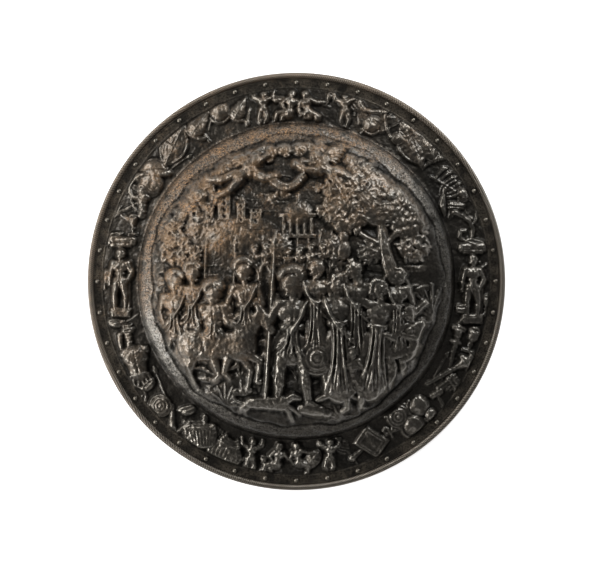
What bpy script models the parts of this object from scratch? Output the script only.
"""A round parade shield, lying face up: one embossed iron plate with a rolled rim, and forty lining rivets.

Z is up, +Y is the top of the picture on the shield, and the rim's flat underside is at z = 0. The relief is
drawn in millimetres on a grid of heights, and only its masses are kept here. The back follows the front,
since the plate is one sheet hammered from behind.
"""

import math

import bpy
import numpy as np

# Millimetres
R_EDGE, R_BAND, R_FOOT, R_LIP = 290.0, 268.0, 219.0, 200.0
FOOT_Z, BAND_Z, DOME_RISE, PLATE_T = 14.0, 5.0, 62.0, 1.6
UNDER = BAND_Z - PLATE_T
BEAD = ((281.0, 5.0), (283.5, 8.6), (288.5, 8.2), (290.0, 4.3), (287.5, 0.0), (282.5, 0.0), (280.5, UNDER))
SOFT, GRID, GROWN = 3.0, 2.0, 1.05
RIVETS, R_RIVETS, R_HOLE, R_SHANK, GAP = 40, 276.0, 2.1, 1.7, 0.3
DOME_RINGS, R_BACK, RIM_SIDES = 16, 217.5, 90
FLANGE = ((227.0, 110), (236.0, 110), (246.0, 110), (256.0, 110), (R_BAND, 104))

def way(angle):
    """A unit step whose angle is counted from straight down, towards +X."""
    return np.array([math.sin(math.radians(angle)), -math.cos(math.radians(angle))])


def bow(start, end, sag=0.0, count=8):
    """Points of a curve from start to end that bulges sideways by sag."""
    start, end = np.asarray(start, float), np.asarray(end, float)
    along = end - start
    side = np.array([-along[1], along[0]]) / max(np.hypot(*along), 1e-6)
    t = np.linspace(0, 1, count)[:, None]
    return start + along * t + side * sag * 4 * t * (1 - t)


def arc(centre, rx, ry, start, end, count=13):
    turns = np.radians(np.linspace(start, end, count))
    return np.stack([centre[0] + rx * np.cos(turns), centre[1] + ry * np.sin(turns)], axis=1)


def blurred(grid, sigma):
    """The grid smoothed by a bell curve whose width is sigma, in cells."""
    reach = max(int(3 * sigma), 1)
    taps = np.exp(-0.5 * (np.arange(-reach, reach + 1) / sigma) ** 2)
    taps /= taps.sum()
    for axis in (0, 1):
        padded = np.pad(grid, [(reach, reach) if a == axis else (0, 0) for a in (0, 1)], mode="edge")
        grid = sum(tap * np.take(padded, range(k, k + grid.shape[axis]), axis) for k, tap in enumerate(taps))
    return grid


class Relief:
    """Heights over a square grid, in millimetres, built up from a few kinds of mark."""

    def __init__(self, half, pitch):
        self.half, self.pitch = half, pitch
        self.axis = np.arange(-half, half + pitch / 2, pitch)
        self.height = np.zeros((len(self.axis),) * 2)

    def window(self, low, high):
        last = len(self.axis)
        i0, j0 = (max(int((c + self.half) / self.pitch), 0) for c in low)
        i1, j1 = (min(int((c + self.half) / self.pitch) + 2, last) for c in high)
        x, y = np.meshgrid(self.axis[i0:i1], self.axis[j0:j1])
        return (slice(j0, j1), slice(i0, i1)), x, y

    def oval(self, at, rx, ry, turn):
        """The cells around an oval, with their squared distance from its centre as a share of its size."""
        far = max(rx, ry)
        view, x, y = self.window((at[0] - far, at[1] - far), (at[0] + far, at[1] + far))
        c, s = math.cos(math.radians(turn)), math.sin(math.radians(turn))
        u = ((x - at[0]) * c + (y - at[1]) * s) / rx
        v = (-(x - at[0]) * s + (y - at[1]) * c) / ry
        return view, u * u + v * v

    def raise_to(self, view, top, inside, blend):
        """Lifts the surface to top where inside, with a soft fillet where the two meet."""
        old = self.height[view]
        fillet = np.maximum(blend - np.abs(old - top), 0) ** 2 / (4 * blend)
        self.height[view] = np.where(inside, np.maximum(old, top) + fillet, old)

    def limb(self, a, b, ra, rb, lift=0.0, lift_end=None, swell=0.8, blend=1.6, skirt=None):
        """A rounded, tapered bar from a to b, whose foot spreads by skirt as hammered metal does."""
        a, b = np.asarray(a, float), np.asarray(b, float)
        lift_end = lift if lift_end is None else lift_end
        skirt = 0.3 + 0.7 * max(lift, lift_end) if skirt is None else skirt
        far = max(ra, rb) + skirt
        view, x, y = self.window(np.minimum(a, b) - far, np.maximum(a, b) + far)
        d = b - a
        t = np.clip(((x - a[0]) * d[0] + (y - a[1]) * d[1]) / max(d @ d, 1e-9), 0, 1)
        off = np.hypot(x - a[0] - t * d[0], y - a[1] - t * d[1])
        wide = ra + t * (rb - ra)
        base = (lift + t * (lift_end - lift)) * np.clip(1 - (off - wide) / skirt, 0, 1) ** 1.3
        top = base + swell * np.sqrt(np.maximum(wide**2 - off**2, 0))
        self.raise_to(view, top, off < wide + skirt, blend)

    def strand(self, points, ra, rb, lift=0.0, lift_end=None, swell=0.8, blend=0.8):
        """A rounded bar along a curve."""
        lift_end = lift if lift_end is None else lift_end
        share = np.linspace(0, 1, len(points))
        wide, high = ra + (rb - ra) * share, lift + (lift_end - lift) * share
        for i in range(len(points) - 1):
            self.limb(points[i], points[i + 1], wide[i], wide[i + 1], high[i], high[i + 1], swell, blend)

    def boss(self, at, rx, ry=None, turn=0.0, lift=0.0, rise=None, blend=1.0, skirt=None):
        """A rounded oval lump."""
        ry = rx if ry is None else ry
        rise = 0.8 * min(rx, ry) if rise is None else rise
        grow = 1 + (0.3 + 0.7 * lift if skirt is None else skirt) / min(rx, ry)
        view, q = self.oval(at, rx * grow, ry * grow, turn)
        q = np.sqrt(q) * grow
        base = lift * np.clip(1 - (q - 1) / (grow - 1), 0, 1) ** 1.3
        self.raise_to(view, base + rise * np.sqrt(np.maximum(1 - q * q, 0)), q < grow, blend)

    def slab(self, at, half_w, half_h, turn=0.0, top=2.0, bevel=1.0):
        """A flat-topped rectangle with a bevelled edge."""
        far = math.hypot(half_w, half_h)
        view, x, y = self.window((at[0] - far, at[1] - far), (at[0] + far, at[1] + far))
        c, s = math.cos(math.radians(turn)), math.sin(math.radians(turn))
        u = np.abs((x - at[0]) * c + (y - at[1]) * s)
        v = np.abs(-(x - at[0]) * s + (y - at[1]) * c)
        edge = np.minimum(half_w - u, half_h - v)
        self.raise_to(view, top * np.clip(edge / bevel, 0, 1) ** 0.5, edge > 0, 0.3)


# Figures. Limb angles are counted from straight down towards +X, leans from straight up.

TORSO, NECK, HEAD, THIGH, SHIN, FOOT, UPPER, FORE = 0.29, 0.045, 0.165, 0.23, 0.225, 0.075, 0.16, 0.145


def head(plan, at, tall, tilt, look, lift, helmet=False):
    """A head of height tall that leans by tilt; look is -1 for left, 0 for front, 1 for right, 2 for back."""
    up = -way(-tilt)
    side = np.array([up[1], -up[0]])
    hy, hx, rise = tall * 0.5, tall * 0.385, tall * 0.34
    plan.boss(at, hx, hy, -tilt, lift, rise)
    if helmet:
        top, fore = at + up * tall * 0.12, 1 if look == 0 else look
        plan.boss(top, tall * 0.46, tall * 0.42, -tilt, lift, tall * 0.42)
        turns = np.linspace(0.2, math.pi + 0.3, 9)
        crest = [top + tall * (side * fore * 0.42 * math.cos(a) + up * (0.3 + 0.3 * math.sin(a)))
                 for a in turns]
        plan.strand(crest, tall * 0.09, tall * 0.15, lift + tall * 0.2)
        return


def figure(plan, hip, tall, lean=0, tilt=0, look=0, arms=((-25, -10), (25, 10)), legs=((-8, -4), (8, 4)),
           lift=2.0, arm_lift=(3, 3), woman=False, dress=None, helmet=False, girth=1.12):
    """A person of height tall: for each side, the viewer's left first, the angles of upper and lower limb."""
    hip, fat = np.asarray(hip, float), tall * girth
    up = -way(-lean)
    side = np.array([up[1], -up[0]])
    neck = hip + up * TORSO * tall
    wide_top, wide_low = tall * (0.088 if woman else 0.108), tall * (0.058 if woman else 0.05)
    for (thigh, shin), s in zip(legs, (-1, 1)):
        root = hip + side * s * wide_low - up * tall * 0.01
        knee = root + way(thigh) * THIGH * tall
        ankle = knee + way(shin) * SHIN * tall
        calf = knee + (ankle - knee) * 0.3
        plan.limb(root, knee, fat * 0.054, fat * 0.034, lift + 1, lift + 1.5)
        plan.limb(knee, calf, fat * 0.033, fat * 0.037, lift + 1, lift + 0.5)
        plan.limb(calf, ankle, fat * 0.037, fat * 0.019, lift + 0.5, lift)
        plan.limb(ankle, ankle + way(shin + 62 * s) * FOOT * tall, fat * 0.021, fat * 0.015, lift)
    waist, chest = hip + up * tall * 0.10, neck - up * tall * 0.085
    plan.limb(hip - side * wide_low * 0.5, hip + side * wide_low * 0.5, fat * 0.06, fat * 0.06, lift + 1)
    plan.limb(hip, waist, fat * 0.064, fat * 0.056, lift + 1)
    plan.limb(waist, chest, fat * 0.056, fat * 0.078, lift + 1, lift + 1.5)
    plan.limb(chest - side * wide_top * 0.45, chest + side * wide_top * 0.45, fat * 0.062, fat * 0.062,
              lift + 1.5)
    shoulders = [neck - up * tall * 0.03 + side * s * wide_top for s in (-1, 1)]
    plan.limb(shoulders[0], shoulders[1], fat * 0.036, fat * 0.036, lift + 2)
    if dress:
        dress(plan, waist, up, side, tall, lift)
    crown = neck - way(-tilt) * (NECK + HEAD * 0.4) * tall
    plan.limb(neck, crown, fat * 0.028, fat * 0.026, lift + 2.5, lift + 3)
    for (upper, fore), shoulder, raised in zip(arms, shoulders, arm_lift):
        elbow = shoulder + way(upper) * UPPER * tall
        wrist = elbow + way(fore) * FORE * tall
        mid, high = elbow + (wrist - elbow) * 0.35, lift + raised
        plan.boss(shoulder, fat * 0.038, fat * 0.038, 0, lift + 2)
        plan.limb(shoulder, elbow, fat * 0.032, fat * 0.024, lift + 3, high)
        plan.limb(elbow, mid, fat * 0.023, fat * 0.026, high, high)
        plan.limb(mid, wrist, fat * 0.026, fat * 0.015, high, high)
    head(plan, crown, tall * HEAD, tilt, look, lift + 3, helmet)


def gown(length, spread, folds=9, sway=0.0):
    """A hanging skirt: its length and hem as shares of the figure's height."""

    def make(plan, waist, up, side, tall, lift):
        hem = waist - up * tall * length + side * tall * sway
        plan.limb(waist, hem, tall * 0.05, tall * spread * 0.9, lift + 2.5, lift, 0.55)
        for s in (-1, 1):
            plan.limb(waist, hem + side * s * tall * spread * 0.5, tall * 0.05, tall * spread * 0.6,
                      lift + 2.5, lift, 0.6)
    return make


def cloak(plan, neck, end, width, tall, lift, sag=0.05):
    """A cloth that streams from the neck to an end point, its folds spreading to width."""
    neck, end = np.asarray(neck, float), np.asarray(end, float)
    d = (end - neck) / np.hypot(*(end - neck))
    n = np.array([-d[1], d[0]])
    for i in range(7):
        q = -0.5 + i / 6
        tip = end + n * q * width + d * tall * 0.03 * math.sin(i * 2.1)
        line = bow(neck + n * q * width * 0.25, tip, tall * sag, 9)
        line = line + n * (tall * 0.02 * np.sin(np.linspace(0, 5, 9) + i))[:, None]
        plan.strand(line, tall * 0.018, tall * 0.028, lift, lift * 0.5, 0.7)


# Animals, plants, clouds and buildings


def horse(plan, at, long, facing, lift, legs, neck_turn):
    """A horse: at is its barrel's middle, long its body length, legs the front pair, then the hind pair."""
    at = np.asarray(at, float)
    fore, back = np.array([facing, 0.0]), -facing
    r = long * 0.2
    chest, rump = at + fore * long * 0.32 + (0, long * 0.02), at - fore * long * 0.32
    for k, (upper, lower) in enumerate(legs):
        root = (chest if k < 2 else rump) - (0, r * 0.35)
        far = -1.2 if k % 2 else 0.6
        knee = root + way(upper * facing) * long * 0.30
        hoof = knee + way(lower * facing) * long * 0.27
        plan.limb(root, knee, long * (0.095 if k < 2 else 0.12), long * 0.042, lift + far)
        plan.limb(knee, hoof, long * 0.042, long * 0.028, lift + far)
        plan.limb(hoof, hoof + fore * long * 0.03 - (0, long * 0.01), long * 0.036, long * 0.036, lift + far)
    plan.limb(rump, chest, r, r * 0.92, lift + 1, swell=0.5)
    plan.boss(rump + (0, long * 0.02), r * 1.05, r * 1.05, 0, lift + 1, r * 0.58)
    plan.boss(chest, r * 0.95, r * 1.1, 0, lift + 1, r * 0.6)
    rising = np.array([math.cos(math.radians(neck_turn)) * facing, math.sin(math.radians(neck_turn))])
    poll = chest + rising * long * 0.42 + (0, long * 0.06)
    nose = poll + np.array([facing * 0.62, -0.78]) * long * 0.26
    plan.limb(chest + (0, long * 0.06), poll, long * 0.16, long * 0.08, lift + 1.5, lift + 3, 0.65)
    plan.limb(poll, nose, long * 0.074, long * 0.044, lift + 3, lift + 3)
    plan.limb(poll, poll + (facing * long * 0.01, long * 0.09), long * 0.022, long * 0.01, lift + 3.4)
    for i in range(10):
        root = poll + (chest + (0, long * 0.12)
                       - poll) * (i / 9) + np.array([back * long * 0.05, long * 0.03])
        tip = root + np.array([back * long * 0.10, -long * 0.08])
        plan.strand(bow(root, tip, facing * long * 0.02, 4), long * 0.022, long * 0.01, lift + 3, lift + 1.5)
    tail = rump + np.array([back * r * 0.9, r * 0.4])
    for i in range(5):
        tip = tail + np.array([back * long * (0.12 + 0.04 * i), -long * (0.42 - 0.04 * i)])
        plan.strand(bow(tail, tip, facing * long * 0.09, 8), long * 0.024, long * 0.010, lift + 1.5, lift)


def dog(plan, at, long, facing, lift):
    at, fore = np.asarray(at, float), np.array([facing, 0.0])
    r = long * 0.13
    chest, rump = at + fore * long * 0.30, at - fore * long * 0.28
    plan.limb(rump, chest, r * 0.8, r * 1.15, lift)
    for root, upper, lower in ((chest, 40, 20), (chest, 65, 50), (rump, -35, 10), (rump, -60, -10)):
        knee = root + way(upper * facing) * long * 0.20
        plan.limb(root, knee, r * 0.55, r * 0.32, lift)
        plan.limb(knee, knee + way(lower * facing) * long * 0.20, r * 0.3, r * 0.22, lift)
    skull = chest + fore * long * 0.2 + (0, long * 0.13)
    plan.limb(chest, skull, r * 0.7, r * 0.5, lift)
    plan.limb(skull, skull + fore * long * 0.14 - (0, long * 0.03), r * 0.52, r * 0.28, lift + 0.5)
    plan.limb(skull, skull - fore * long * 0.04 - (0, long * 0.06), r * 0.22, r * 0.16, lift + 1.2)
    tail = rump - fore * long * 0.12
    plan.strand(bow(tail, tail + np.array([-facing * long * 0.2, long * 0.12]), facing * 2.5, 6), r * 0.22,
                r * 0.12, lift)


def foliage(plan, at, radius, lift):
    """A mass of leaves: a few soft lumps, with leaves laid over them."""
    at = np.asarray(at, float)
    for k in range(5):
        plan.boss(at + way(72 * k + at[0]) * radius * 0.45, radius * 0.55, radius * 0.5, 0, lift,
                  radius * 0.22)


def tree(plan, foot, top, girth, lift, crown, boughs):
    foot, top = np.asarray(foot, float), np.asarray(top, float)
    trunk = bow(foot, top, girth * 0.7, 10)
    for s in (-1, 1):
        root = bow(foot + (s * girth * 0.5, girth * 0.4), foot + (s * girth * 1.9, -girth * 0.9), s * 2, 5)
        plan.strand(root, girth * 0.5, girth * 0.2, lift)
    plan.strand(trunk, girth, girth * 0.45, lift + 1, lift + 1)
    ends = [(top, crown)]
    for turn, share, long in boughs:
        root = trunk[int(share * 9)]
        tip = root - way(-turn) * long
        plan.strand(bow(root, tip, -long * 0.12 * np.sign(turn), 7), girth * 0.42, girth * 0.2, lift + 1)
        ends.append((tip, crown * 0.72))
    for end, size in ends:
        foliage(plan, end, size, lift + 1)


def cloud_bank(plan, path, size, lift):
    """Rolling clouds along a path: overlapping lumps, some of them curled."""
    for i, p in enumerate(path):
        r = size * (0.8 + 0.4 * math.sin(i * 2.3 + 1) ** 2)
        plan.boss(p, r, r * 0.8, 0, lift, r * 0.4)


def tower(plan, at, wide, tall, lift, roof):
    x, y = at
    plan.slab((x, y + tall / 2), wide / 2, tall / 2, 0, lift, 1.2)
    if roof:
        plan.limb((x, y + tall), (x, y + tall + wide * 0.75), wide * 0.5, wide * 0.05, lift * 0.3, swell=0.45)
    else:
        plan.slab((x, y + tall - wide * 0.08), wide * 0.56, wide * 0.08, 0, lift + 0.6, 0.6)
        for k in (-1, 0, 1):
            plan.slab((x + k * wide * 0.38, y + tall + wide * 0.1), wide * 0.12, wide * 0.13, 0, lift + 0.4,
                      0.6)


def winged_child(plan, hip, tall, lean, side, lift):
    hip = np.asarray(hip, float)
    mid = hip - way(-lean) * tall * 0.25
    for s in (-1, 1):
        tip = mid + np.array([s * tall * 0.30 - side * tall * 0.12, tall * 0.34])
        for i in range(7):
            q = i / 6
            end = mid + (tip - mid) * (1 - 0.45 * q) - (0, tall * 0.16 * q)
            plan.strand(bow(mid, end, s * tall * (0.07 - 0.02 * q), 7), tall * 0.03, tall * 0.022,
                        lift + 1.5 - q, lift)
    figure(plan, hip, tall, lean, lean * 0.4, side, ((95 * side, 120 * side), (60 * side, 100 * side)),
           ((-lean * 0.9 - 15, -lean - 35), (-lean * 0.9 + 12, -lean - 5)), lift)


def blades(plan, root, count, long, spread, lift, width=3.4):
    """A clump of broad leaves that fan out from a root."""
    for i in range(count):
        q = -1 + 2 * i / max(count - 1, 1)
        a = math.radians(q * spread)
        end = np.asarray(root) + long * (1 - 0.25 * abs(q)) * np.array([math.sin(a), math.cos(a)])
        end[1] -= long * 0.25 * q * q
        plan.strand(bow(root, end, long * 0.16 * q, 8), width * 0.6, width * 0.3, lift, lift * 0.6)


def rings(plan, at, r, lift):
    """A round shield with raised rings."""
    plan.boss(at, r, r, 0, lift, r * 0.28)


# The scene on the dome, in millimetres from the shield's centre


def ground(plan):
    """Terraces across the whole dome: each rises at its upper edge and sinks away below it."""
    x, y = np.meshgrid(plan.axis, plan.axis)
    for k, (level, lift, fall) in enumerate(((46, 3.0, 50), (14, 2.4, 40), (-118, 2.6, 46), (-152, 3.0, 60))):
        sag = 0.0009 * x * x * (1 if k < 2 else -1.4)
        edge = level + 7 * np.sin(x * 0.035 + k * 1.9) + 3 * np.sin(x * 0.09 + k) + sag
        below = edge - y
        step = lift * np.clip(below / 3.0, 0, 1) * np.clip(1 - below / fall, 0, 1)
        plan.height = np.maximum(plan.height, step)


def skyline(plan):
    plan.boss((-88, 58), 70, 30, 0, 0, 5.0)
    plan.boss((70, 46), 80, 20, 0, 0, 3.4)
    towers = ((-132, 66, 16, 26, 1), (-112, 74, 13, 22, 0), (-93, 78, 18, 38, 0), (-71, 74, 13, 27, 1),
              (-52, 66, 16, 24, 0))
    plan.slab((-92, 72), 50, 9, 0, 4.0, 1.2)
    for x, y, wide, tall, roof in towers:
        tower(plan, (x, y), wide, tall, 5.4, roof)
    plan.slab((2, 58), 24, 3, 0, 4.6, 1)
    for x in range(-16, 24, 9):
        plan.limb((x, 61), (x, 82), 2.4, 2.2, 2.0)
    plan.slab((2, 85), 24, 3, 0, 5.0, 1)
    plan.boss((2, 87), 19, 17, 0, 0.5, 5.0)
    plan.limb((2, 102), (2, 110), 2.4, 1.4, 2)
    boughs = ((-52, 0.5, 62), (30, 0.55, 52), (-24, 0.85, 46), (42, 0.8, 34))
    tree(plan, (126, 4), (112, 104), 10, 3.2, 38, boughs)
    for at, size in (((146, 80), 30), ((60, 118), 26), ((152, 44), 22), ((86, 132), 26), ((44, 92), 16)):
        foliage(plan, at, size, 2.6)
    bushes = (((-158, 44), 24), ((-140, 34), 18), ((-166, 70), 18), ((52, 44), 15), ((-22, 46), 14),
              ((96, 36), 16))
    for at, size in bushes:
        foliage(plan, at, size, 2.0)
    cloud_bank(plan, arc((0, 0), 172, 172, 122, 150, 6), 15, 1.2)
    cloud_bank(plan, arc((-4, 24), 136, 126, 138, 160, 4), 11, 1.0)
    cloud_bank(plan, arc((0, 0), 170, 172, 58, 118, 9), 14, 1.2)
    cloud_bank(plan, ((-16, 116), (30, 122), (-30, 108)), 9, 0.8)


def sky(plan):
    winged_child(plan, (-76, 136), 84, 58, 1, 8)
    winged_child(plan, (48, 140), 84, -58, -1, 8)
    garland = bow((-34, 134), (8, 136), -14, 15)
    plan.strand(garland, 5.0, 5.0, 5.0)


def crowd(plan):
    """The second row, half hidden by the first."""
    for i in range(8):
        x, y = -54 + 14.5 * i, 20 + 3 * math.sin(i * 1.4)
        figure(plan, (x, y), 48, 4, 0, 1, ((20, 60), (-15, 30)), ((-22, -10), (20, 8)), 1.6, (1, 1),
               helmet=True)
        plan.limb((x + 9, y - 14), (x + 13, y + 42), 1.0, 0.8, 3.4)
    people = ((-158, -54, 128, 1, 6), (-66, -44, 138, 1, -4), (-134, -42, 126, 1, 0), (24, -40, 142, -1, 4),
              (76, -44, 144, -1, -8), (130, -44, 128, -1, 8))
    for x, y, tall, look, tilt in people:
        robe = gown(0.46, 0.11, 11) if x > 0 else gown(0.2, 0.1, 9)
        figure(plan, (x, y), tall, 0, tilt, look, ((-20, 20), (20, -20)), ((-6, 0), (6, 0)), 2.6, dress=robe,
               helmet=x < 0)
    for x in (-148, -120, -82):
        plan.limb((x, -50), (x + 4, 48), 1.5, 1.2, 4.5)
        plan.limb((x + 4, 48), (x + 4.4, 58), 3.0, 0.6, 4.0)


def riders(plan):
    legs = ((62, -8), (30, -10), (-8, 24), (-34, 8))
    horse(plan, (-104, -84), 98, 1, 4.5, legs, 52)
    cloak(plan, (-110, -22), (-160, -34), 30, 120, 7, -0.06)
    figure(plan, (-106, -66), 122, -3, 0, 1, ((52, 95), (20, 70)), ((10, 16), (28, -14)), 8, (2, 4),
           dress=gown(0.14, 0.1, 7),
           helmet=True)


def front_row(plan):
    cloak(plan, (-8, -14), (-34, -116), 34, 170, 3.0, 0.05)
    figure(plan, (-6, -76), 176, 3, -6, -1, ((-30, -150), (32, 20)), ((-9, -3), (12, 6)), 4.6, (5, 4),
           dress=gown(0.2, 0.1, 9),
           helmet=True)
    plan.limb((-40, -156), (-27, 52), 1.9, 1.6, 7.5)
    plan.limb((-27, 52), (-26, 64), 3.6, 0.6, 7.0)
    rings(plan, (27, -98), 23, 7)
    figure(plan, (54, -70), 168, -2, 4, 0, ((-28, 20), (150, 200)), ((-6, -2), (8, 2)), 4.6, (6, 3),
           woman=True,
           dress=gown(0.52, 0.12, 11))
    plan.boss((61, 40), 9.5, 12.5, 0, 5, 6.5)
    plan.limb((61, 50), (61, 57), 4.5, 6.5, 5)
    cloak(plan, (112, -30), (156, -40), 24, 150, 5, -0.09)
    figure(plan, (102, -74), 162, 8, -10, -1, ((-118, -160), (62, 130)), ((-16, -24), (22, -8)), 4.6, (4, 4),
           woman=True,
           dress=gown(0.5, 0.13, 11, 0.03))
    for x, y, rx, ry in ((156, -104, 22, 18), (140, -124, 26, 15), (168, -80, 15, 16)):
        plan.boss((x, y), rx, ry, 10, 0, 6)
    figure(plan, (154, -88), 118, -8, -12, -1, ((-40, -112), (-20, -104)), ((-76, -6), (-58, 10)), 6, (6, 7))
    plan.limb((124, -52), (146, -38), 1.9, 1.5, 12)
    figure(plan, (74, -126), 86, -6, 0, -1, ((-70, -110), (30, 60)), ((-16, 6), (16, 4)), 9)
    dog(plan, (-40, -158), 70, 1, 5)
    plan.limb((8, -166), (30, -170), 8, 10, 1.5)
    plan.limb((30, -170), (38, -172), 6, 8, 1.5)
    blades(plan, (-150, -122), 11, 62, 70, 4.5)
    blades(plan, (-172, -62), 9, 52, 60, 3.5)
    blades(plan, (124, -150), 9, 40, 75, 4.0)
    blades(plan, (56, -182), 9, 26, 80, 3.5)
    blades(plan, (-92, -166), 9, 34, 75, 3.5)
    blades(plan, (176, -50), 9, 46, 60, 3.5)


def dome_scene(plan):
    ground(plan)
    skyline(plan)
    sky(plan)
    crowd(plan)
    riders(plan)
    front_row(plan)


class Spot:
    """A place on the border: u runs to the right and v upwards, both turned clockwise by turn."""

    def __init__(self, plan, x, y, turn=0.0, scale=1.0):
        self.plan, self.scale, self.turn = plan, scale, turn
        self.origin = np.array([x, y], float)
        self.base = -turn

    def at(self, p):
        c, s = math.cos(math.radians(self.turn)), math.sin(math.radians(self.turn))
        return self.origin + self.scale * np.array([p[0] * c + p[1] * s, -p[0] * s + p[1] * c])

    def points(self, ps):
        return np.array([self.at(p) for p in ps])

    def limb(self, a, b, ra, rb=None, lift=0.5, lift_end=None, swell=0.8):
        k = self.scale
        self.plan.limb(self.at(a), self.at(b), ra * k, (ra if rb is None else rb) * k, lift, lift_end, swell)

    def strand(self, ps, ra, rb=None, lift=0.5, swell=0.8):
        k = self.scale
        self.plan.strand(self.points(ps), ra * k, (ra if rb is None else rb) * k, lift, swell=swell)

    def boss(self, at, rx, ry=None, turn=0, lift=0.5, rise=None):
        k = self.scale
        self.plan.boss(self.at(at), rx * k, (rx if ry is None else ry) * k, self.base + turn, lift, rise)

    def slab(self, at, hw, hh, turn=0, top=3.0, bevel=1.5):
        self.plan.slab(self.at(at), hw * self.scale, hh * self.scale, self.base + turn, top, bevel)


def helmet(s):
    s.boss((0, 2), 12, 11, 0, 0.5, 6.0)
    s.limb((-13, -5), (13, -5), 2.6, 2.6, 1.5)
    s.limb((-9, -6), (-7, -15), 5, 2.6, 1.0)
    s.limb((9, -6), (12, -11), 4, 2, 1.0)
    s.strand(arc((0, 1), 13.5, 14.5, 20, 175), 2.2, 3.4, 3.0)


def cuirass(s):
    s.limb((-4, 8), (4, 8), 9, 9, 0.5, swell=0.62)
    s.limb((0, 8), (0, -6), 11.5, 9.0, 0.5, swell=0.62)
    s.limb((-11, 13), (-6, 15), 4.2, 4.2, 0.6)
    s.limb((11, 13), (6, 15), 4.2, 4.2, 0.6)
    for k in range(6):
        x = -9.5 + 3.8 * k
        s.limb((x * 0.9, -10), (x * 1.25, -18), 2.1, 1.9, 1.2)


def target(s):
    s.boss((0, 0), 14, 14, 0, 1.0, 4.2)


def oval_shield(s):
    s.boss((0, 0), 11, 17, 0, 0.8, 4.8)


def kite_shield(s):
    ring = [(0, 18), (9, 12), (13, 2), (9, -8), (0, -18), (-9, -8), (-13, 2), (-9, 12), (0, 18)]
    for k in range(8):
        s.limb(ring[k], (0, 0), 2.5, 9.5, 0.6, 1.6, 0.42)
    s.strand(ring, 1.5, 1.5, 1.8)


def drum(s):
    for x in np.linspace(-8.5, 8.5, 9):
        h = 10.5 * math.sqrt(max(1 - (x / 15) ** 2, 0))
        s.limb((x, -h + 3), (x, h - 1), 2.2, 2.2, 1.0 + 4.4 * math.sqrt(1 - (x / 11) ** 2), swell=0.3)
    s.boss((0, 10), 10.5, 4.0, 0, 3.4, 1.6)
    s.strand(arc((0, 10), 10.8, 4.2, 0, 360, 25), 1.2, 1.2, 4.0)
    s.strand(arc((0, -8), 10.8, 4.2, 180, 360, 15), 1.4, 1.4, 3.8)


def quiver(s):
    s.limb((0, -14), (0, 10), 6.0, 7.6, 0.8, swell=0.75)
    s.boss((0, -15), 6.2, 4, 0, 0.8, 4)
    s.strand(arc((0, 10), 7.8, 2.6, 0, 360, 15), 1.3, 1.3, 5.2)
    for x in (-4.5, -1.5, 1.5, 4.5):
        s.limb((x, 11), (x * 1.3, 18), 1.2, 1.9, 3.4)


def trumpet(s):
    s.limb((-2, -22), (0, 8), 1.5, 2.2, 1.6)
    s.limb((0, 8), (0.6, 18), 2.2, 6.6, 1.6, 1.0)
    s.strand(arc((0.6, 18.5), 6.8, 2.0, 0, 360, 15), 1.1, 1.1, 3.0)


def spear(s, long=30, width=1.2):
    s.limb((0, -long), (0, long * 0.72), width, width, 1.0)
    s.limb((0, long * 0.70), (0, long * 0.80), 3.0, 3.4, 0.8)
    s.limb((0, long * 0.80), (0, long), 3.4, 0.4, 0.8, swell=0.7)


def axe(s):
    s.limb((0, -20), (0, 18), 1.6, 1.4, 1.4)
    for y in np.linspace(5, 15, 6):
        reach = 11 - 0.12 * (y - 10) ** 2
        s.limb((0, 10), (reach, y + (y - 10) * 0.6), 2.4, 1.2, 1.2, 0.6, 0.5)
    s.limb((0, 10), (-7, 12), 2.2, 0.6, 1.4)


def sword(s):
    s.limb((0, -20), (0, 9), 2.3, 2.3, 0.8, swell=0.7)
    s.limb((-6.5, 10), (6.5, 10), 1.5, 1.5, 2.0)
    s.limb((0, 10), (0, 16), 1.7, 1.7, 1.6)
    s.boss((0, 18.5), 2.6, 2.6, 0, 1.6)


def bow_arms(s):
    s.strand(arc((-6, 0), 14, 19, -78, 78, 15), 1.4, 1.4, 1.8)
    s.strand([(-3, -18.5), (-5.5, 0), (-3, 18.5)], 0.7, 0.7, 1.2)
    s.strand(bow((-3, 18.5), (-7, 21), 1, 4), 1.3, 0.8, 1.6)
    s.strand(bow((-3, -18.5), (-7, -21), 1, 4), 1.3, 0.8, 1.6)


def ewer(s):
    s.boss((0, -3), 11, 12, 0, 0.6, 6.4)
    s.limb((0, 6), (0, 15), 4.6, 3.6, 1.2)
    s.limb((0, -14), (0, -17), 4.0, 6.4, 0.8)
    s.strand(arc((0, 16.5), 6.4, 2.2, 0, 360, 15), 1.3, 1.3, 3.0)
    s.strand(arc((9, 6), 8, 9.5, -70, 130, 13), 1.7, 1.4, 2.4)


def goblet(s):
    s.limb((0, 6), (0, 12), 6.4, 7.6, 0.8, swell=0.7)
    s.limb((0, -8), (0, 4), 1.7, 2.6, 1.4)
    s.limb((-6, -11), (6, -11), 2.2, 2.2, 1.0)
    s.boss((0, -3), 3.2, 2.6, 0, 1.2)


def club(s):
    s.strand(bow((-4, -19), (3, 18), 3.0, 9), 2.2, 5.6, 0.8)


def pipes(s):
    for k in range(6):
        s.limb((-9 + 3.4 * k, 9), (-9 + 3.4 * k, -14 + 3.4 * k), 1.9, 1.7, 1.2)
    s.limb((-11, 6), (11, 6), 1.5, 1.5, 2.6)
    s.limb((-11, 1), (10, 2), 1.1, 1.1, 2.6)


def flag(s):
    s.limb((-9, -21), (-9, 21), 1.4, 1.2, 2.0)
    for k in range(6):
        y = 17 - 4.2 * k
        s.strand(bow((-9, y), (14 - 1.4 * k + 3 * (k % 2), y - 5 - 0.8 * k), 2.4 * (1 if k % 2 else -0.6), 8),
                 2.7, 2.5, 0.8 + 0.5 * (k % 2), 0.55)


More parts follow.
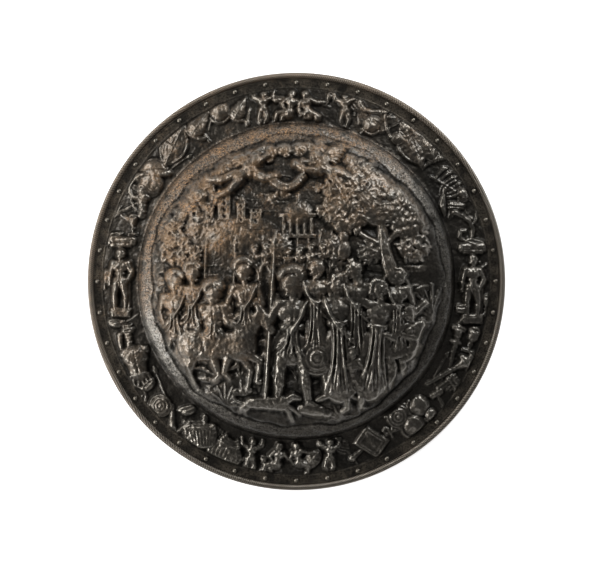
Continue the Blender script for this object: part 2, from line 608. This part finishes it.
def pelta(s):
    s.strand(arc((0, 4), 13, 13, 160, 380, 19), 4.6, 4.6, 0.8, 0.6)
    s.boss((0, -9), 4.2, 6.4, 0, 1.4, 3.8)
    s.strand(arc((0, 4), 16.6, 16.6, 165, 375, 19), 1.1, 1.1, 2.2)
    s.boss((-12.6, 9.4), 3.2, 3.2, 0, 1.4)
    s.boss((12.6, 9.4), 3.2, 3.2, 0, 1.4)


def person(s, hip, tall, lean, tilt, look, arms, legs, **more):
    """A figure placed by a Spot: all its angles turn with the Spot."""
    t = s.turn
    turned = lambda pairs: tuple((p[0] - t, p[1] - t) for p in pairs)
    figure(s.plan, s.at(hip), tall * s.scale, t + lean, t + tilt, look, turned(arms), turned(legs), **more)


def captive(s):
    """A small bound figure with its arms raised, on a tapered post."""
    s.limb((0, -18), (0, -6), 3.0, 5.5, 0.5)
    person(s, (0, -5), 50, 0, 6, 0, ((-115, -170), (115, 172)), ((-14, 18), (14, -18)), lift=2.0,
           arm_lift=(1, 1),
           girth=1.5, dress=gown(0.10, 0.11, 5))


def sitter(s, side=1):
    person(s, (0, -8), 56, -14 * side, 4 * side, side,
           ((-50 if side < 0 else -20, 30), (40 if side < 0 else 70, 90)),
           ((78 * side, 10 * side), (62 * side, -12 * side)), lift=2.0, arm_lift=(2, 2),
           dress=gown(0.18, 0.12, 5),
           girth=1.4)


def atlas(s):
    """A standing figure that carries a capital and rests on a plinth."""
    s.slab((0, -49), 15, 6, 0, 5.0, 2.0)
    s.limb((-13, -43), (13, -43), 2.2, 2.2, 2.5)
    s.limb((-17, 56), (17, 56), 4.6, 4.6, 2.5)
    s.limb((-12, 49), (12, 49), 4.0, 4.0, 2.0)
    for k in (-1, 1):
        s.boss((17 * k, 53), 5.2, 5.2, 0, 2.0, 4.5)
    s.limb((12, -40), (13, 26), 2.6, 1.8, 1.5)
    person(s, (-1, -1), 92, 2, 0, 0, ((-16, -6), (24, -28)), ((-9, 2), (10, -2)), lift=2.8, arm_lift=(3, 3),
           dress=gown(0.16, 0.09, 5),
           girth=1.25)


def mask(s):
    """A big closed helmet with a face guard, seen at an angle."""
    s.boss((2, 12), 15, 12, 0, 0.8, 7.0)
    s.boss((0, -2), 13, 15, 0, 0.8, 7.5)
    s.limb((-17, 4), (17, 9), 3.0, 3.0, 4.2)
    s.boss((-8, -9), 6.4, 7.4, 0, 3.0, 5.2)
    s.strand(arc((-15, -8), 6.5, 9.0, 70, 290, 11), 1.7, 1.7, 2.6)


def almond(s):
    """A tall leaf-shaped shield with a midrib."""
    for k in np.linspace(-1, 1, 9):
        s.strand(bow((0, -24), (0, 24), 15.0 * k * 0.92, 11), 3.2, 3.2, 2.6 - 2.0 * k * k, 0.5)
    for k in (-1, 1):
        s.strand(bow((0, -25), (0, 25), 15.5 * k, 13), 1.2, 1.2, 2.6)


def bowl(s):
    s.boss((0, -1), 12.5, 7.5, 0, 0.6, 5.5)
    s.slab((0, 5), 13.5, 4.5, 0, 0.6, 1)
    s.strand(arc((0, 3), 12.5, 2.4, 0, 360, 21), 1.2, 1.2, 3.6)


def hammer(s):
    s.limb((0, -15), (0, 12), 1.9, 1.9, 1.4)
    s.limb((-6, 12), (6, 12), 4.4, 4.4, 0.8)


def barrel(s):
    """A lidded drum that stands upright."""
    for x in np.linspace(-16, 16, 13):
        tall = 12.5 * math.sqrt(max(1 - (x / 22) ** 2, 0))
        s.limb((x, -tall + 2), (x, 10), 2.4, 2.4, 1.0 + 5.2 * math.sqrt(max(1 - (x / 19) ** 2, 0)), swell=0.3)
    s.strand(arc((0, 11), 17.5, 3.6, 0, 360, 25), 1.4, 1.4, 3.6)
    s.strand(bow((-18, 5), (18, 5), -2.5, 11), 1.1, 1.1, 4.6)


def shell(s):
    """A ribbed, closed quiver or basket with a rolled mouth."""
    for k in range(-4, 5):
        s.strand(bow((k * 2.0, 9), (k * 1.5, -17), k * 2.6, 9), 2.3, 2.6,
                 1.0 + 3.8 * math.sqrt(1 - (k / 5) ** 2), 0.5)
    for k in range(3):
        s.strand(arc((0, 10 + 2.8 * k), 10.5 - 1.6 * k, 3.0, 180, 360, 11), 1.8, 1.8, 5.0 - k)


def curl(s):
    """A banner or pelta whose upper edge dips between two horns."""
    s.strand([(-17, 15), (-15, 5), (-8, 0), (2, -1), (11, 1), (17, 3)], 1.8, 3.6, 2.6)
    s.strand([(17, 3), (18, -6), (22, -18), (28, -28)], 1.6, 1.2, 2.6)
    for k in range(5):
        s.limb((-13 + 6.5 * k, -1), (-11 + 7 * k, -17 - 1.5 * k), 4.2, 3.4, 0.4, swell=0.4)
    s.strand([(-18, 13), (-20, 2), (-19, -9)], 1.3, 1.0, 1.2)


def serpent(s):
    s.strand([(-12, 16), (-3, 12), (5, 5), (9, -4), (7, -13), (0, -17), (-7, -13), (-6, -6), (0, -5)], 2.8,
             1.6, 1.4)
    s.boss((-12, 16), 4.2, 3.2, -20, 1.6)


def torch(s):
    s.limb((0, -24), (0, 6), 1.6, 3.4, 1.0)
    s.limb((0, 6), (0, 20), 3.0, 6.6, 1.0)
    s.limb((-4, 5), (4, 5), 2.0, 2.0, 2.6)
    s.strand(arc((0, 21), 7.0, 2.2, 0, 360, 15), 1.2, 1.2, 3.2)


def tray(s):
    """A rotated square shield with a raised frame."""
    s.slab((0, 0), 17, 13.5, 0, 4.0, 2.2)


def bottle(s):
    s.strand([(1.5, 15), (0.5, 8), (-1, -2), (-2, -10)], 1.6, 5.6, 0.8)
    s.boss((-2, -10), 6, 6.5, 0, 0.8, 4.6)
    s.limb((1.5, 14), (1.8, 17), 2.4, 2.4, 1.2)


def morion(s):
    """A tall pear-shaped helmet with a narrow brim."""
    s.strand([(0, 17), (0, 8), (0, -4)], 4.0, 11.5, 0.8, 0.62)
    s.boss((0, -3), 12, 10, 0, 0.8, 6.0)
    s.strand(bow((-15, -9), (15, -9), -5.0, 11), 2.2, 2.2, 1.8)


def ball(s):
    s.boss((0, 0), 13, 13, 0, 0.8, 7.0)
    s.strand(bow((-11, -9), (11, -9), -6.0, 9), 1.7, 1.7, 2.0)
    s.limb((-9, -11), (-12, -17), 2.0, 1.2, 1.0)


def leaf(s):
    for k in range(-2, 3):
        s.strand(bow((0, -17), (k * 6.0, 15 - 2.5 * abs(k)), -k * 2.4, 8), 1.5, 3.2, 1.0 - 0.2 * abs(k), 0.7)


# motif, its place in millimetres from the shield's centre, turn clockwise and size
BORDER = (
    (sitter, -10, 244, 0, 1.0, dict(side=-1)), (sitter, 16, 243, 0, 1.0, dict(side=1)),
    (captive, 67, 241, 0, 0.95, {}), (curl, 104, 236, 10, 0.95, {}), (ball, 104, 218, 10, 0.85, {}),
    (spear, 138, 217, 62, 0.7, {}),
    (oval_shield, 184, 183, -30, 1.05, {}), (almond, 160, 190, -24, 1.05, {}), (club, 190, 164, 50, 0.75, {}),
    (flag, 206, 142, -60, 0.72, {}), (leaf, 213, 128, 60, 0.80, {}), (bottle, 203, 108, 0, 1.0, {}),
    (pipes, 221, 100, 4, 0.8, {}),
    (bow_arms, 240, 100, -20, 0.95, {}), (serpent, 234, 76, 0, 1.0, {}), (spear, 254, 74, -40, 0.62, {}),
    (atlas, 244, -6, 0, 0.97, {}), (sword, 262, 12, -30, 0.75, {}), (bowl, 228, -38, 0, 0.7, {}),
    (goblet, 263, -36, 8, 0.8, {}),
    (torch, 219, -90, 12, 1.0, {}), (goblet, 242, -84, 18, 1.0, {}), (trumpet, 210, -126, 57, 1.25, {}),
    (spear, 200, -116, 30, 0.6, {}),
    (pipes, 217, -146, 54, 1.05, {}), (hammer, 200, -166, -30, 0.85, {}),
    (target, 141, -187, 0, 1.0, {}), (ball, 163, -199, 40, 1.05, {}), (ball, 170, -172, 60, 0.95, {}),
    (sword, 122, -214, 60, 0.75, {}), (tray, 104, -222, 33, 1.0, {}), (spear, 72, -236, -38, 0.85, {}),
    (captive, 46, -238, 0, 0.95, {}), (oval_shield, 22, -246, 40, 0.85, {}),
    (sitter, 4, -241, 0, 0.9, dict(side=1)), (sitter, -27, -243, 0, 0.95, dict(side=-1)),
    (captive, -62, -238, 6, 0.95, {}), (shell, -97, -234, 26, 1.05, {}), (barrel, -132, -215, -4, 1.0, {}),
    (hammer, -139, -194, 90, 0.9, {}), (bowl, -149, -178, -14, 0.8, {}), (bottle, -171, -192, -6, 1.0, {}),
    (spear, -187, -142, -22, 0.75, {}), (target, -188, -172, 0, 1.0, {}), (bowl, -204, -144, -40, 0.7, {}),
    (cuirass, -220, -116, -12, 1.25, {}), (club, -240, -90, -24, 0.75, {}), (quiver, -232, -76, -8, 0.7, {}),
    (atlas, -243, 3, 0, 0.97, {}), (helmet, -262, 2, -8, 0.6, {}),
    (sword, -236, 100, 62, 1.0, {}), (sword, -240, 92, -52, 0.85, {}), (goblet, -226, 76, 0, 0.8, {}),
    (quiver, -213, 106, 4, 0.85, {}), (mask, -201, 139, 4, 1.15, {}), (spear, -164, 162, 55, 0.7, {}),
    (almond, -170, 187, 25, 0.98, {}), (morion, -136, 216, 35, 1.0, {}), (axe, -118, 224, 10, 0.6, {}),
    (ball, -106, 236, 0, 0.95, {}), (morion, -80, 237, 26, 0.85, {}), (captive, -46, 243, 0, 0.95, {}),
    (bowl, -26, 252, 0, 0.6, {}), (goblet, 44, 250, 20, 0.6, {}), (leaf, 84, 244, -30, 0.6, {}),
    (axe, 120, 222, 50, 0.7, {}),
    (target, 140, 198, 0, 0.6, {}), (ball, 232, 122, 0, 0.6, {}), (bowl, 246, 52, 10, 0.8, {}),
    (club, 226, -60, 30, 0.6, {}),
    (goblet, 238, -112, 40, 0.7, {}), (ball, 186, -184, 0, 0.6, {}), (serpent, 128, -200, 20, 0.6, {}),
    (bottle, 84, -240, 40, 0.7, {}), (leaf, 62, -228, 100, 0.55, {}), (goblet, -45, -254, 0, 0.6, {}),
    (club, -80, -250, 60, 0.6, {}), (leaf, -112, -212, 20, 0.6, {}), (club, -158, -206, 40, 0.6, {}),
    (serpent, -214, -156, 0, 0.6, {}), (bowl, -250, -58, 0, 0.7, {}), (spear, -228, -52, 60, 0.6, {}),
    (bowl, -252, 62, -10, 0.7, {}), (leaf, -222, 122, -60, 0.6, {}), (spear, -190, 168, 20, 0.6, {}),
    (club, -150, 206, 60, 0.55, {}), (axe, -128, 204, -40, 0.6, {}), (bottle, -66, 226, 0, 0.6, {}),
)


def border(plan):
    for motif, x, y, turn, size, more in BORDER:
        big = 1.0 if motif is atlas else 1.1 if motif in (captive, sitter) else 1.2
        motif(Spot(plan, x, y, turn, size * big), **more)


def lip_edge(turn):
    """The wavy edge of the pictured field, as a radius."""
    wave = 2.6 * np.sin(5 * turn + 0.6) + 1.8 * np.sin(11 * turn + 2.0) + 1.3 * np.sin(19 * turn + 1.0)
    return R_LIP + wave


def masses():
    """The relief's soft masses over the whole plate."""
    half, pitch = R_EDGE + 4, GRID
    field, strip = Relief(half / GROWN, pitch / GROWN), Relief(half, pitch)
    dome_scene(field)
    border(strip)
    x, y = np.meshgrid(strip.axis, strip.axis)
    r = np.hypot(x, y)
    edge = lip_edge(np.arctan2(y, x))
    lip = 1.9 * np.clip((r - edge) / 2, 0, 1) * np.clip((R_FOOT - 1 - r) / 6, 0, 1)
    inner = field.height * np.clip((edge + 1 - r) / 6, 0, 1) + lip
    outer = strip.height * np.clip((r - R_FOOT - 2) / 3, 0, 1) * np.clip((R_BAND - r) / 2, 0, 1)
    soft = blurred(np.where(r < R_FOOT, inner, outer), SOFT / GRID)
    soft *= np.clip(np.abs(r - R_FOOT) / 5, 0, 1) * np.clip((R_BAND - r) / 3, 0, 1)
    strip.height = np.where(soft > 9, 9 + 0.62 * (soft - 9), soft)
    return strip


def height_at(plan, x, y):
    """The grid's height at points, taken between its cells."""
    u, v = (x + plan.half) / plan.pitch, (y + plan.half) / plan.pitch
    i, j = u.astype(int), v.astype(int)
    u, v, h = u - i, v - j, plan.height
    return (h[j, i] * (1 - u) + h[j, i + 1] * u) * (1 - v) + (h[j + 1, i] * (1 - u) + h[j + 1, i + 1] * u) * v


def face_z(r):
    """The smooth outer face's height: the dome, and the flange that slopes down to the rivet band."""
    r = np.asarray(r, float)
    rise = DOME_RISE * (1 - np.clip(r / R_FOOT, 0, 1) ** 2.3) ** 0.75
    fall = (FOOT_Z - BAND_Z) * np.clip((r - R_FOOT) / (R_BAND - R_FOOT), 0, 1)
    return np.where(r < R_FOOT, FOOT_Z + rise, FOOT_Z - fall)


def ring(r, z, count):
    turns = 2 * math.pi * np.arange(count) / count
    x, y = r * np.cos(turns), r * np.sin(turns)
    return np.stack([x, y, np.full(count, z) if np.ndim(z) == 0 else z], axis=1)


def plate_rings():
    """The front's rings and the back's, one under the other, from the middle out to the rivet band."""
    relief = masses()
    rows = [(R_FOOT * i / DOME_RINGS, max(6 * i, 1)) for i in range(DOME_RINGS + 1)] + list(FLANGE)
    front, back = [], []
    for r, count in rows:
        flat = ring(r, 0.0, count)
        top = face_z(r) + height_at(relief, flat[:, 0], flat[:, 1])
        front.append(ring(r, top, count))
        slope = min(float(face_z(max(r - 1, 0)) - face_z(r)), 1.6) if r < R_FOOT else 0.0
        back.append(ring(R_BACK if r == R_FOOT else r, top - PLATE_T * math.hypot(1, slope), count))
    return front, back


def zipped(rings):
    """The faces that join each ring to the next; unlike counts need a hand-made loft."""
    faces, start = [], 0
    for a, b in zip(rings[:-1], rings[1:]):
        n, m, after = len(a), len(b), start + len(a)
        i = j = 0
        while i < (n if n > 1 else 0) or j < (m if m > 1 else 0):
            outer = m > 1 and j < m and (n == 1 or i >= n or (j + 0.5) / m <= (i + 0.5) / n)
            if outer:
                faces.append((start + i % n, after + j, after + (j + 1) % m))
                j += 1
            else:
                faces.append((start + i, after + j % m, start + (i + 1) % n))
                i += 1
        start = after
    return faces


def plate_solid():
    """The plate's points and faces. The back has the front's faces turned over, so the wall stays even."""
    front, back = plate_rings()
    rim = [ring(r, z, RIM_SIDES) for r, z in BEAD]
    shell, faces = front + rim, zipped(front + rim)
    under = sum(len(row) for row in shell)
    faces += [tuple(under + i for i in reversed(face)) for face in zipped(back)]
    last, edge = under - RIM_SIDES, under + sum(len(row) for row in back[:-1])
    join = zipped([rim[-1], back[-1]])
    faces += [tuple(last + i if i < RIM_SIDES else edge + i - RIM_SIDES for i in face) for face in join]
    return np.concatenate(shell + back), faces


def mesh_object(name, points, faces, home):
    mesh = bpy.data.meshes.new(name)
    mesh.from_pydata([tuple(0.001 * c for c in p) for p in points], [], faces)
    mesh.validate()
    made = bpy.data.objects.new(name, mesh)
    home.objects.link(made)
    return made


def material(name, colour, roughness):
    made = bpy.data.materials.new(name)
    made.use_nodes = True
    shader = made.node_tree.nodes["Principled BSDF"]
    shader.inputs["Base Color"].default_value = (*colour, 1)
    shader.inputs["Metallic"].default_value = 1.0
    shader.inputs["Roughness"].default_value = roughness
    return made


def turned(made):
    """Spins a profile about the object's Z axis into a six-sided rivet."""
    screw = made.modifiers.new("turned", "SCREW")
    screw.steps = screw.render_steps = 6
    screw.use_merge_vertices, screw.merge_threshold = True, 0.00001
    screw.use_normal_flip = True


for old in list(bpy.data.objects):
    bpy.data.objects.remove(old)
shield = bpy.data.collections.new("parade_shield")
tools = bpy.data.collections.new("cutters")
for collection in (shield, tools):
    bpy.context.scene.collection.children.link(collection)
iron = material("blackened_iron", (0.16, 0.14, 0.12), 0.5)
studs = material("rivet_iron", (0.30, 0.28, 0.25), 0.4)

plate = mesh_object("shield_plate", *plate_solid(), shield)
plate.data.materials.append(iron)

# Forty holes, the first at the top of the picture
points, faces = [], []
for k in range(RIVETS):
    turn = math.pi / 2 + 2 * math.pi * k / RIVETS
    base = len(points)
    for z in (-4.0, 12.0):
        for side in range(6):
            a = turn + side * math.pi / 3
            points.append((R_RIVETS * math.cos(turn) + R_HOLE * math.cos(a),
                           R_RIVETS * math.sin(turn) + R_HOLE * math.sin(a), z))
    faces += [tuple(base + 5 - i for i in range(6)), tuple(base + 6 + i for i in range(6))]
    faces += [(base + i, base + (i + 1) % 6, base + 6 + (i + 1) % 6, base + 6 + i) for i in range(6)]
cutter = mesh_object("hole_cutter", points, faces, tools)
cutter.hide_render, cutter.display_type = True, "WIRE"
cut = plate.modifiers.new("rivet_holes", "BOOLEAN")
cut.operation, cut.solver, cut.object = "DIFFERENCE", "EXACT", cutter

# Rivets: domed head, shank through the hole, flattened tail on the back
PROFILE = ((0, UNDER - 1.5), (2.9, UNDER - GAP), (R_SHANK, UNDER - GAP),
           (R_SHANK, BAND_Z + GAP), (3.4, BAND_Z + GAP), (2.3, BAND_Z + 1.9), (0, BAND_Z + 2.6))
for k in range(RIVETS):
    turn = math.pi / 2 - 2 * math.pi * k / RIVETS
    name = f"rivet_{k + 1:02d}"
    profile = bpy.data.meshes.new(name)
    profile.from_pydata([(0.001 * r, 0, 0.001 * z) for r, z in PROFILE],
                        [(i, i + 1) for i in range(len(PROFILE) - 1)], [])
    profile.materials.append(studs)
    rivet = bpy.data.objects.new(name, profile)
    rivet.location = (0.001 * R_RIVETS * math.cos(turn), 0.001 * R_RIVETS * math.sin(turn), 0)
    rivet.rotation_euler = (0, 0, turn)
    shield.objects.link(rivet)
    turned(rivet)
